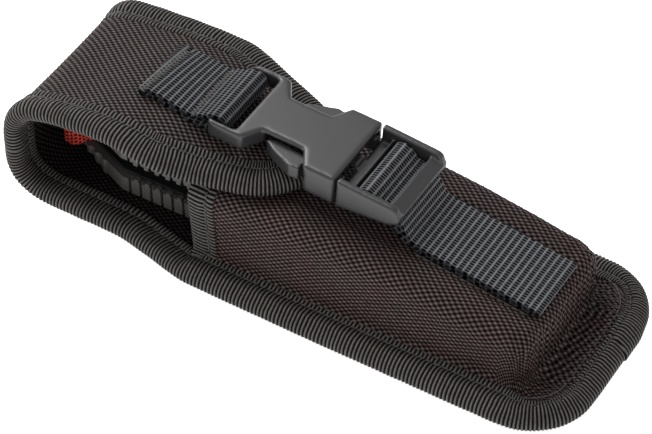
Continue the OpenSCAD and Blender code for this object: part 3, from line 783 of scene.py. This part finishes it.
def pocket_grid():
    """The moulded pocket: rows follow the base round three sides, columns rise from the flange to the top."""
    corner_x = POCKET_END_X - CORNER_R
    corner_y = float(base_half(corner_x)) - CORNER_R
    rows = base_rows(corner_x, corner_y)
    bx, by, turn, kind = rows[:, 0], rows[:, 1], np.radians(rows[:, 2]), rows[:, 3]
    nx, ny = np.sin(turn), -np.cos(turn)
    footness = ease(0.15, 0.95, nx)
    draft = 0.8 - 0.9 * footness
    cornering = np.exp(-((np.abs(nx) - 0.7) / 0.3) ** 2)
    round_r = 5.4 - 1.2 * footness + 3.0 * cornering
    run = rows[:, 4] - MOUTH_LOW_X
    spine_x = MOUTH_LOW_X + run * (SPINE_END_X - MOUTH_LOW_X) / (corner_x - MOUTH_LOW_X)
    spine_x = np.where(kind == SIDE_ROW, spine_x, np.clip(rows[:, 4], None, SPINE_END_X))
    wall_end = N_FLANGE + N_WALL
    grid = np.zeros((len(rows), wall_end + N_TOP, 3))
    below = np.zeros(grid.shape[:2])
    for i in range(len(rows)):
        inset = draft[i] + round_r[i]
        ex, ey = bx[i] - nx[i] * inset, by[i] - ny[i] * inset
        top = float(plateau(ex)) + float(puff(ex, ey)) - 0.2
        d, z = wall_section(inset, top, 2.6 - 1.5 * footness[i], round_r[i], footness[i]).T
        wx, wy = bx[i] - nx[i] * d, by[i] - ny[i] * d
        fx, fy = flange_start(kind[i], bx[i], by[i], nx[i], ny[i], corner_y)
        k = np.linspace(0, 1, N_FLANGE, endpoint=False)
        flat = np.full(N_FLANGE, FLANGE_Z)
        grid[i, :N_FLANGE] = np.stack([fx + (wx[0] - fx) * k, fy + (wy[0] - fy) * k, flat], 1)
        grid[i, N_FLANGE:wall_end] = np.stack([wx, wy, z], 1)
        k = np.linspace(0, 1, N_TOP + 1)[1:]
        tx, ty = wx[-1] + (spine_x[i] - wx[-1]) * k, wy[-1] * (1 - k)
        tz = plateau(tx) + puff(tx, ty)
        tz = tz + (z[-1] - tz[0]) * (1 - k) ** 6
        grid[i, wall_end:] = np.stack([tx, ty, tz], 1)
        walk = lengths(grid[i])
        beyond = (grid[i, :, 0] - wx[-1]) * nx[i] + (grid[i, :, 1] - wy[-1]) * ny[i]
        below[i] = np.maximum(walk[wall_end - 1] - walk, 0) - np.maximum(0, beyond)
    shear = np.clip((grid[..., 2] - 10.6) / 27.4, 0, 1) * (MOUTH_HIGH_X - MOUTH_LOW_X)
    grid[..., 0] += shear * np.clip(1 - (grid[..., 0] - MOUTH_LOW_X) / 45.0, 0, 1)
    uv = np.stack([grid[..., 0] + nx[:, None] * below, grid[..., 1] + ny[:, None] * below], -1)
    return grid, uv, nx, ny, footness


def grid_normals(grid):
    du = np.gradient(grid, axis=0)
    dv = np.gradient(grid, axis=1)
    normal = np.cross(du, dv)
    size = np.linalg.norm(normal, axis=-1, keepdims=True)
    normal = normal / np.maximum(size, 1e-9)
    flat = size[..., 0] < 1e-6
    normal[flat] = (0, 0, 1)
    return np.where(normal[..., 2:3] < -0.2, -normal, normal)


def pocket_offset(along, ring, wall_share):
    """Pleats, valley and unevenness of the moulded pocket, along its normals."""
    cornered = gauss(np.exp(-((np.abs(face_x) - 0.72) / 0.3) ** 2)[:, None], 6)
    gather = ease(0.03, 0.22, wall_share) * ease(0.98, 0.5, wall_share)
    pleats = np.sin(TAU * along / 3.4 + 1.6 * ripple(along, ring * 0.4, 21))
    pleats = pleats + 0.5 * np.sin(TAU * along / 1.9 + 1.0)
    end_zone = ease(0.1, 0.6, face_x)[:, None]
    offset = 0.3 * pleats * gather * end_zone * (0.55 + 0.9 * cornered)
    valley = np.exp(-((ring - N_FLANGE + 1) / 7.0) ** 2)
    offset = offset + (0.6 * np.sin(TAU * along / 2.1 + ripple(along, ring, 4)) - 0.9) * valley * end_zone
    return offset + 0.22 * ripple(pocket_uv[..., 0], pocket_uv[..., 1], 8) * ease(0.0, 0.3, wall_share)


def pocket_weave(ring):
    """Woven relief of the pocket, fading at its corners and where the rows of the foot meet."""
    squeeze = ease(0.85, 0.35, np.abs(face_x) * (1 - np.abs(face_x)) * 4)[:, None]
    woven = 0.2 * crown(pocket_uv[..., 0], pocket_uv[..., 1]) * (0.35 + 0.65 * squeeze)
    last = N_FLANGE + N_WALL + N_TOP - 1
    on_foot = (footness > 0)[:, None]
    return woven * np.where(on_foot, ease(last, last - 11, ring), 1.0)


pocket, pocket_uv, face_x, face_y, footness = pocket_grid()
pocket_normal = grid_normals(pocket)
facing = np.stack([face_x, face_y], 1)
pocket_normal *= np.median(np.sign(np.sum(pocket_normal[:, N_FLANGE + 20, :2] * facing, axis=1)))

along = np.arange(len(pocket))[:, None] * STEP
ring = np.arange(pocket.shape[1])[None, :] + 0 * along
wall_share = np.clip((ring - N_FLANGE) / N_WALL, 0, 1)
outer_pocket = pocket + pocket_normal * pocket_offset(along, ring, wall_share)[..., None]
outer_pocket = outer_pocket + pocket_normal * pocket_weave(ring)[..., None]
lining = (pocket - pocket_normal * 2.4)[::3, ::3]
lining_uv = pocket_uv[::3, ::3]
pocket_piece = merged("pocket_moulding", [
    (outer_pocket, pocket_uv, False),
    (lining[:, LINING_FROM:][:, ::-1], lining_uv[:, LINING_FROM:][:, ::-1], False),
], POCKET_FABRIC, weld=0.02, fill=False, turn=False)
outer_faces = (outer_pocket.shape[0] - 1) * (outer_pocket.shape[1] - 1)
# Painted shade: the pocket's lining faces are drawn darker
shade_lining(pocket_piece, np.arange(len(pocket_piece.data.polygons)) >= outer_faces)
stand_for(pocket_piece, "pouch_fabric", "pocket_shell")
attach(pocket_piece, "pouch")


def mouth_section(t):
    """Points and normals of the pocket at distances t in from its mouth, from near base to far base."""
    rows = 60
    k = np.clip(np.asarray(t) / STEP, 0, rows)
    low = np.floor(k).astype(int)
    part = (k - low)[:, None, None]
    out = []
    for source in (pocket, pocket_normal):
        near, far = (side[:rows + 2, N_FLANGE + 4:] for side in (source, source[::-1]))
        both = np.concatenate([near, far[:, ::-1][:, 1:]], 1)
        out.append(both[low] * (1 - part) + both[low + 1] * part)
    return out


def spread_even(vectors, walk, even):
    """Vectors given at distances walk along a line, read off at even distances."""
    return np.stack([np.interp(even, walk, vectors[:, i]) for i in range(3)], 1)


# Distance of the seam in from the pocket's mouth
MOUTH_GROOVE = 5.7


def mouth_binding():
    """Ribbed tape folded over the pocket's mouth, and the lines that its stitches follow."""
    side = [(8.4, -0.3), (8.5, 0.45), (8.1, 0.72), (6.6, 0.72), (6.0, 0.5), (5.7, 0.42),
            (5.3, 0.55), (4.0, 0.85), (2.0, 0.9), (0.4, 0.75), (-0.55, 0.2), (-0.95, -0.9),
            (-0.85, -1.9), (-0.3, -2.8), (1.2, -3.2), (6.8, -3.2), (7.3, -2.8)]
    profile = resample(gauss(resample(np.array(side, float), 0.1), 1.5), count=58)
    t, h = profile[:, 0], profile[:, 1]
    points, normals = mouth_section(np.maximum(t, 0))
    edge = mouth_section(np.array([0.0, 1.2]))[0]
    outward = unit(edge[0] - edge[1])
    points = points + outward[None] * np.maximum(-t, 0)[:, None, None]
    walk = lengths(edge[0])
    even = np.linspace(0, walk[-1], int(walk[-1] / OUTLINE_STEP))
    points, normals = (np.stack([spread_even(row, walk, even) for row in a]) for a in (points, normals))
    outward, normals = spread_even(outward, walk, even), unit(normals)
    lip = ease(5.4, 6.2, t)[:, None]
    sigma = even[None, :] + 0.35 * lip + 0.1 * ripple(even[None, :] * 2, t[:, None] * 3, 31)
    out = 0.14 * np.cos(TAU * sigma / RIB) * ease(8.5, 8.1, t)[:, None]
    groove = np.exp(-((t - MOUTH_GROOVE) / 0.45) ** 2)[:, None]
    out = out - 0.16 * groove * (0.5 + 0.5 * np.cos(TAU * even / STITCH_PITCH))[None, :]
    sign = np.where(h > -1.6, 1.0, -1.0)[:, None]
    lead = ease(0.6, -0.6, t)[:, None] * np.cos(np.clip((h[:, None] + 1.2) / 2.2, -1, 1) * math.pi / 2)
    grid = points + normals * (h[:, None] + out * sign * (1 - lead))[..., None]
    grid = (grid + outward[None] * (out * lead)[..., None]).transpose(1, 0, 2)
    uv = np.stack([sigma.T, np.broadcast_to(lengths(profile), sigma.T.shape)], -1)
    piece = grid_piece("mouth_binding", grid, np.concatenate([uv, uv[:, :1]], 1), TAPE, wrap=True)
    return piece, points, normals, t, even


mouth_piece, mouth_points, mouth_normals, mouth_t, mouth_even = mouth_binding()
stand_for(mouth_piece, "binding_tape", "pocket_mouth_binding")
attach(mouth_piece, "pouch")


# ---- webbing

def web_height(u, v, rib_pitch, tick_pitch):
    """Relief of a webbing: ribs across it, with small beads in the valleys between them."""
    rib = 0.5 + 0.5 * np.cos(TAU * u / rib_pitch)
    row = np.floor(u / rib_pitch)
    bead = 0.5 + 0.5 * np.cos(TAU * (v / tick_pitch + 0.45 * row))
    return 0.26 * rib ** 1.6 + 0.17 * (1 - rib) * bead - 0.14


def strap_section(half, t, n_face, n_back):
    """Closed section of a strap: place across, height, and 1 on its face going to -1 on its back."""
    bow = t * 0.7
    flat = half - bow
    turns = np.radians(np.linspace(-80, 80, 7))
    edge_v, edge_h = flat + bow * np.cos(turns), -t * np.sin(turns)
    v = np.concatenate([np.linspace(-flat, flat, n_face), edge_v, np.linspace(flat, -flat, n_back), -edge_v])
    h = np.concatenate([np.full(n_face, t), edge_h, np.full(n_back, -t), -edge_h])
    top = np.concatenate([np.ones(n_face), np.linspace(1, -1, 7), -np.ones(n_back), np.linspace(-1, 1, 7)])
    return v, h, top


def ribbon(name, centre, width, thick, material, across=(0, 1, 0), step=WEB_RIB / 8, n_face=104, n_back=40,
           press=(), skew=None, fade=0.0, pitches=(WEB_RIB, WEB_TICK), sag=None, start=0.0, tone=1.0):
    """Woven strap along a centre line, with ribs on both faces and rounded selvedges; the selvedges carry
    painted shade, and tone is a painted shade for the whole strap.
    """
    centre = resample(np.asarray(centre, float), step)
    u = lengths(centre) + start
    tangent = unit(np.gradient(centre, axis=0))
    wide = np.broadcast_to(np.array(across, float), centre.shape)
    normal = unit(np.cross(tangent, wide))
    half = width / 2
    v, h, top = strap_section(half, thick / 2, n_face, n_back)
    uu, vv = u[:, None], v[None, :]
    rough = web_height(uu, vv, *pitches) * top[None, :] * ease(half, half - 1.1, np.abs(vv))
    rim = 1 - np.abs(top[None, :])
    side = np.sign(vv) * rim * 0.05 * np.cos(TAU * uu / (pitches[0] / 2))
    squash = np.ones(len(u))
    for at, depth, reach in press:
        squash = squash - depth * np.exp(-((u - at) / reach) ** 2)
    hh = h[None, :] * squash[:, None] + rough * np.clip(squash, 0.5, 1)[:, None]
    lean = np.zeros_like(u) if skew is None else skew(u)
    if fade:
        ends = ease(0, fade, u) * ease(u[-1], u[-1] - fade, u)
        hh = hh * (0.35 + 0.65 * ends)[:, None]
    points = centre[:, None, :] + wide[:, None, :] * (vv + side)[..., None]
    points = points + normal[:, None, :] * hh[..., None]
    points = points + tangent[:, None, :] * (lean[:, None] * vv)[..., None]
    if sag is not None:
        points[..., 2] -= sag(points[..., 0], points[..., 1])
    uv = np.stack(np.broadcast_arrays(uu, vv), -1)
    piece = grid_piece(name, points, np.concatenate([uv, uv[:, :1]], 1), material, wrap=True)
    # A face of the selvedge has a corner off both flat sides
    selvedge = np.abs(np.roll(top, -1)) + np.abs(top) < 1.99
    # Painted shade: the selvedge faces are drawn darker, and the rest of the strap at the given tone
    shade_lining(piece, np.tile(selvedge, len(u) - 1), tone)
    return piece


def line3(xz):
    xz = np.asarray(xz, float)
    return np.stack([xz[:, 0], 0 * xz[:, 0], xz[:, 1]], 1)


def rounded(xz, sigma=1.2):
    """A path in X and Z with its corners eased."""
    return line3(gauss(resample(np.asarray(xz, float), 0.1), sigma / 0.1))


def top_z(x, above):
    return float(plateau(x)) + above


TILT = math.radians(3.5)
BUCKLE_X, BUCKLE_Z = 8.5, 43.9


def buckle_point(x, z):
    c, s = math.cos(TILT), math.sin(TILT)
    return (BUCKLE_X + x * c + z * s, BUCKLE_Z - x * s + z * c)


def on_pocket(start, end, above):
    """Line along the pocket's top, at a height above it."""
    return line3([(x, top_z(x, above)) for x in np.linspace(start, end, 30)])


# Widths of the webbing and of the strands that lie inside a loop or under the tail
WEB_W, INNER_W = 25.0, 24.6
# Heights of the middles of the tail and of the load strap above the pocket
TAIL_ABOVE, LOAD_ABOVE = 2.35, 0.75

# Load strap and tail on the pocket
tail_line = on_pocket(34.0, 80.0, TAIL_ABOVE)
tail = ribbon("strap_tail_webbing", tail_line, WEB_W, 1.5, WEBBING, n_back=12, fade=0.8)
stand_for(tail, "webbing", "strap_tail")
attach(tail, "pouch")
load_line = on_pocket(34.0, 77.0, LOAD_ABOVE)
load = ribbon("load_strap_webbing", load_line, INNER_W, 1.2, WEBBING, n_face=60, n_back=12)
stand_for(load, "webbing", "load_strap")
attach(load, "pouch")

# Loop round the male half's ladder bar, running out under its rear bar
wrap = [buckle_point(x, z) for x, z in arc(9.7, 6.3, 2.85, 205, 40, 24)]
upper_run = [buckle_point(14.6, 5.6), buckle_point(20.8, 3.6),
             (33.5, top_z(33.5, 3.6)), (38.0, top_z(38.0, TAIL_ABOVE))]
lower_run = [(38.0, top_z(38.0, 0.8)), (32.5, top_z(32.5, 2.0)), buckle_point(19.0, 1.9),
             buckle_point(11.0, 2.2), buckle_point(7.6, 3.6)]
wrap_line = rounded(lower_run + wrap + upper_run, 0.9)
rib_start = 4.0 - lengths(wrap_line)[-1]
bar_loop = ribbon("bar_loop_webbing", wrap_line, INNER_W, 1.5, WEBBING, n_back=60, start=rib_start)
stand_for(bar_loop, "webbing", "bar_wrap")
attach(bar_loop, "male_half")

# Strap on the flap: two layers sewn down, then a loop over the female half's rear bar
bar = buckle_point(-43.9, 7.8)
over = arc(bar[0], bar[1], 3.0, 120, -60, 26)
under = arc(bar[0], bar[1], 3.0, -60, -110, 8)
strap_line = [(-63.9, 53.0), (-64.4, 53.8), (-63.4, 54.55), (-61.5, 54.65), (-56, 54.55),
              (-50.0, 54.1), (-44.0, 53.9), (-40.5, 55.0)]
strap_line += [tuple(p) for p in over] + [tuple(p) for p in under]
strap_line += [(-39.6, 50.9), (-43.8, 51.6), (-50.0, 52.4), (-56.0, 52.9), (-61.5, 53.0)]
full = rounded(strap_line, 0.6)
reach = lengths(full)
# The upper strand is within the strap's first 40 mm
upper_strand = reach < 40
TACK_X = (-61.8, -43.9)


def path_at(x):
    """Distance along the flap strap at which its upper strand passes x."""
    return float(reach[upper_strand][np.argmin(np.abs(full[upper_strand, 0] - x))])


def end_skew(u):
    """How far the sewn ends of the flap strap lie askew."""
    return 0.12 * ease(22, 4, u) - 0.12 * ease(reach[-1] - 22, reach[-1] - 4, u)


full[:, 1] = 1.3 * ease(-44.0, -60.0, full[:, 0])
# The flap strap is drawn darker with a painted shade of tone 0.75
flap_strap = ribbon("flap_strap_webbing", full, WEB_W, 1.6, WEBBING, n_back=36, tone=0.75,
                    press=[(path_at(x), 0.6, 1.2) for x in TACK_X],
                    sag=lambda x, y: flap_sag(x, y) * ease(-40.0, -46.0, x),
                    skew=end_skew)
stand_for(flap_strap, "webbing", "flap_strap")
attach(flap_strap, "flap")

# Belt loop under the back panel
belt_line = rounded([(-60, 5.75), (-48.6, 5.75), (-41, 0.95), (-38, 0.85),
                     (22, 0.85), (25, 0.95), (32.6, 5.75), (44, 5.75)], 1.4)
belt = ribbon("belt_loop_webbing", belt_line, 44.0, 1.4, WEBBING, n_face=120, n_back=120,
              press=[(3.0, 0.3, 1.2), (9.5, 0.3, 1.2)])
stand_for(belt, "webbing", "belt_loop")
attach(belt, "pouch")

# Loop that draws the tool out, standing on its edge
LOOP_Z = 23.4
LOOP_DROOP, LOOP_LEAN = 3.4, 2.0
loop_plan = np.vstack([[(-86.0, -8.2), (-91.6, -8.9)],
                       arc(0, 0, 1, 250, 110, 30) * [5.2, 9.6] + [-93.0, 0],
                       [(-91.6, 8.9), (-86.0, 8.2)]])
loop_line = np.column_stack([loop_plan, np.full(len(loop_plan), LOOP_Z)])
loop_line[:, 2] -= LOOP_DROOP * ease(-87.0, -92.0, loop_line[:, 0])
loop_line[:, 1] -= LOOP_LEAN * ease(-87.0, -92.0, loop_line[:, 0])
pull = ribbon("pull_loop_tape", loop_line, 7.6, 1.2, RED, across=(0, 0, 1), step=0.2,
              n_face=30, n_back=30, pitches=(1.5, 1.5))
stand_for(pull, "red_tape", "pull_loop")
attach(pull, "tool")


# ---- sewing

def tube(path, radius):
    """Grid of a round thread with seven sides along a path."""
    sides = 7
    path = np.asarray(path, float)
    tangent = unit(np.gradient(path, axis=0))
    a = np.cross(tangent, (0.0, 0.0, 1.0))
    a /= np.maximum(np.linalg.norm(a, axis=1, keepdims=True), 1e-9)
    b = np.cross(a, tangent)
    ring = np.linspace(0, TAU, sides, endpoint=False)
    around = a[:, None] * np.cos(ring)[None, :, None] + b[:, None] * np.sin(ring)[None, :, None]
    points = path[:, None] + radius * around
    walk = lengths(path)
    uv = np.stack(np.broadcast_arrays(walk[:, None], (np.arange(sides + 1) * radius)[None, :]), -1)
    return points, uv, True


TACK_PITCH, TACK_RADIUS = 1.35, 0.3


def zigzag(x, z, width, span, side, lean=0.0):
    """Bar tack across a strap: a dense zigzag thread at x, on the side of the strap that side points to."""
    count = int(span / TACK_PITCH)
    pts = []
    for i in range(count * 6 + 1):
        k = i / 6
        y = -span / 2 + k * TACK_PITCH
        phase = abs((k % 1) * 2 - 1) * 2 - 1
        sag = float(flap_sag(x, y)) if side > 0 else 0.0
        arch = side * 0.16 * math.cos(phase * math.pi / 2)
        pts.append((x + phase * width / 2 + lean * y, y, z - sag + arch))
    return tube(pts, TACK_RADIUS)


tack_rows = [zigzag(-61.7, 55.25, 2.2, 24.2, 1, 0.1), zigzag(-43.8, 54.55, 2.2, 24.2, 1)]
tacks = merged("flap_strap_bar_tacks", tack_rows, THREAD)
stand_for(tacks, "thread", "flap_strap_tacks")
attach(tacks, "flap")
belt_tack_rows = [zigzag(x, 5.0, 1.8, 40.0, -1) for x in (-57.0, -50.8, 35.0, 41.2)]
belt_tacks = merged("belt_loop_bar_tacks", belt_tack_rows, THREAD)
stand_for(belt_tacks, "thread", "belt_loop_tacks")
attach(belt_tacks, "pouch")

edge_rows = []
for side in (-1, 1):
    for x in np.arange(38.0, 77.0, 2.6):
        k = np.linspace(-1, 1, 7)
        path = [(x + 1.0 * t, side * 12.95, top_z(x + t, 0.42 - 0.35 * t * t)) for t in k]
        edge_rows.append(tube(path, 0.24))
strap_stitches = merged("load_strap_edge_stitches", edge_rows, THREAD)
stand_for(strap_stitches, "thread", "load_strap_stitches")
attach(strap_stitches, "pouch")

mouth_rows = []
k_groove = int(np.argmin(np.abs(mouth_t - MOUTH_GROOVE) + (np.arange(len(mouth_t)) > 30)))
for centre in np.arange(2.0, mouth_even[-1] - 1.5, STITCH_PITCH):
    at = np.interp(np.linspace(centre - 1.1, centre + 1.1, 7), mouth_even, np.arange(len(mouth_even)))
    idx = np.round(at).astype(int)
    rise = (0.62 - 0.3 * np.linspace(-1, 1, 7) ** 2)[:, None]
    mouth_rows.append(tube(mouth_points[k_groove, idx] + mouth_normals[k_groove, idx] * rise, 0.22))
mouth_stitches = merged("mouth_binding_stitches", mouth_rows, THREAD)
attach(mouth_stitches, "pouch")

# Second row of stitches on the flange round the pocket's foot
row_idx = LOWER_RANGE[np.interp(OUTLINE[LOWER_RANGE, 0], PATH_S, PATH[:, 0]) > 74]
flange_row = stitch_row(OUTLINE[row_idx], INWARD[row_idx], row_idx * OUTLINE_STEP, 9.2, -1, 3.35, 3.4)
flange_stitches = merged("flange_stitches", flange_row, THREAD, fill=False)
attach(flange_stitches, "pouch")


# ---- buckle mouldings

WELD_AT = 0.00001


def moulded(node, name, voxel, passes, body):
    """A copy of a CAD moulding with its edges rounded, by a fine voxel remesh and relaxing."""
    ob = nodes[node].copy()
    ob.data = nodes[node].data.copy()
    ob.name = ob.data.name = name
    for key in list(ob.keys()):
        del ob[key]
    ob.parent = None
    show(ob)
    ob.modifiers.new("weld", "WELD").merge_threshold = WELD_AT
    mesh = ob.modifiers.new("remesh", "REMESH")
    mesh.mode = "VOXEL"
    mesh.voxel_size = voxel * MM
    mesh.use_smooth_shade = True
    relax = ob.modifiers.new("relax", "SMOOTH")
    relax.factor = 0.5
    relax.iterations = passes
    bpy.context.view_layer.update()
    dg = bpy.context.evaluated_depsgraph_get()
    made = bpy.data.meshes.new_from_object(ob.evaluated_get(dg))
    ob.modifiers.clear()
    ob.data = made
    cover_with(made, BUCKLE)
    made.name = name
    stand_for(ob, "buckle_plastic", node)
    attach(ob, body)


moulded("female_buckle", "female_half_moulding", 0.3, 70, "female_half")
moulded("male_buckle", "male_half_moulding", 0.25, 45, "male_half")
moulded("prong_near", "near_prong_moulding", 0.25, 14, "near_prong")
moulded("prong_far", "far_prong_moulding", 0.25, 14, "far_prong")


# ---- CAD pieces that stay

def finish_cad(node, material, width):
    """Material and a fine bevel for a CAD piece that stays."""
    ob = nodes[node]
    cover_with(ob.data, material)
    ob.modifiers.new("weld", "WELD").merge_threshold = WELD_AT
    bevel = ob.modifiers.new("edges", "BEVEL")
    bevel.width = width * MM
    bevel.segments = 2
    bevel.limit_method = "ANGLE"
    bevel.angle_limit = math.radians(30)


for node in ("grip_lower", "grip_upper"):
    finish_cad(node, GRIP, 0.25)
for node in ("main_blade", "saw_blade", "screwdriver", "awl", "grip_screws", "blade_pins", "driver_pins"):
    finish_cad(node, STEEL, 0.12)
for node in ("centre_spacer", "liner_lower", "liner_upper"):
    finish_cad(node, DARK_STEEL, 0.12)
finish_cad("back_stiffener", BOARD, 0.2)


# ---- stage, light and camera

def floor():
    me = bpy.data.meshes.new("floor")
    me.from_pydata([(-3, -3, 0), (3, -3, 0), (3, 3, 0), (-3, 3, 0)], [], [(0, 1, 2, 3)])
    ob = bpy.data.objects.new("floor", me)
    show(ob)
    p = Paint("floor_white")
    p.set(Base_Color=(0.93, 0.93, 0.93, 1.0), Roughness=0.9)
    p.set(Emission_Color=(1.0, 1.0, 1.0, 1.0), Emission_Strength=0.7)
    me.materials.append(p.mat)


def lamp(name, size, power, place, aim):
    data = bpy.data.lights.new(name, "AREA")
    data.shape = "RECTANGLE"
    data.size, data.size_y = size
    data.energy = power
    ob = bpy.data.objects.new(name, data)
    ob.location = place
    ob.rotation_euler = (Vector(aim) - Vector(place)).to_track_quat("-Z", "Y").to_euler()
    show(ob)


floor()
lamp("key", (0.6, 0.6), 8.0, (-0.55, 0.3, 0.8), (0, 0, 0.03))
lamp("fill", (0.9, 0.6), 2.5, (0.6, -0.9, 0.6), (0, 0, 0.03))
lamp("side", (0.2, 0.7), 3.5, (-0.9, -0.45, 0.35), (0, 0, 0.03))

world = bpy.data.worlds.new("studio")
world.use_nodes = True
world.node_tree.nodes["Background"].inputs[0].default_value = (1, 1, 1, 1)
world.node_tree.nodes["Background"].inputs[1].default_value = 0.75
bpy.context.scene.world = world
bpy.context.scene.view_settings.view_transform = "Standard"

AZIMUTH, ELEVATION, DISTANCE = math.radians(31.0), math.radians(45.5), 0.9
LOOK = Vector((-0.0015, -0.002, 0.022))
PX_PER_MM = 3.16
IMAGE_WIDTH = 652
level = math.cos(ELEVATION)
back = Vector((math.sin(AZIMUTH) * level, -math.cos(AZIMUTH) * level, math.sin(ELEVATION)))
camera_data = bpy.data.cameras.new("camera")
camera_data.sensor_width = 36.0
camera_data.lens = camera_data.sensor_width * PX_PER_MM * DISTANCE * 1000 / IMAGE_WIDTH
camera = bpy.data.objects.new("camera", camera_data)
camera.location = LOOK + back * DISTANCE
camera.rotation_euler = (-back).to_track_quat("-Z", "Y").to_euler()
show(camera)
bpy.context.scene.camera = camera
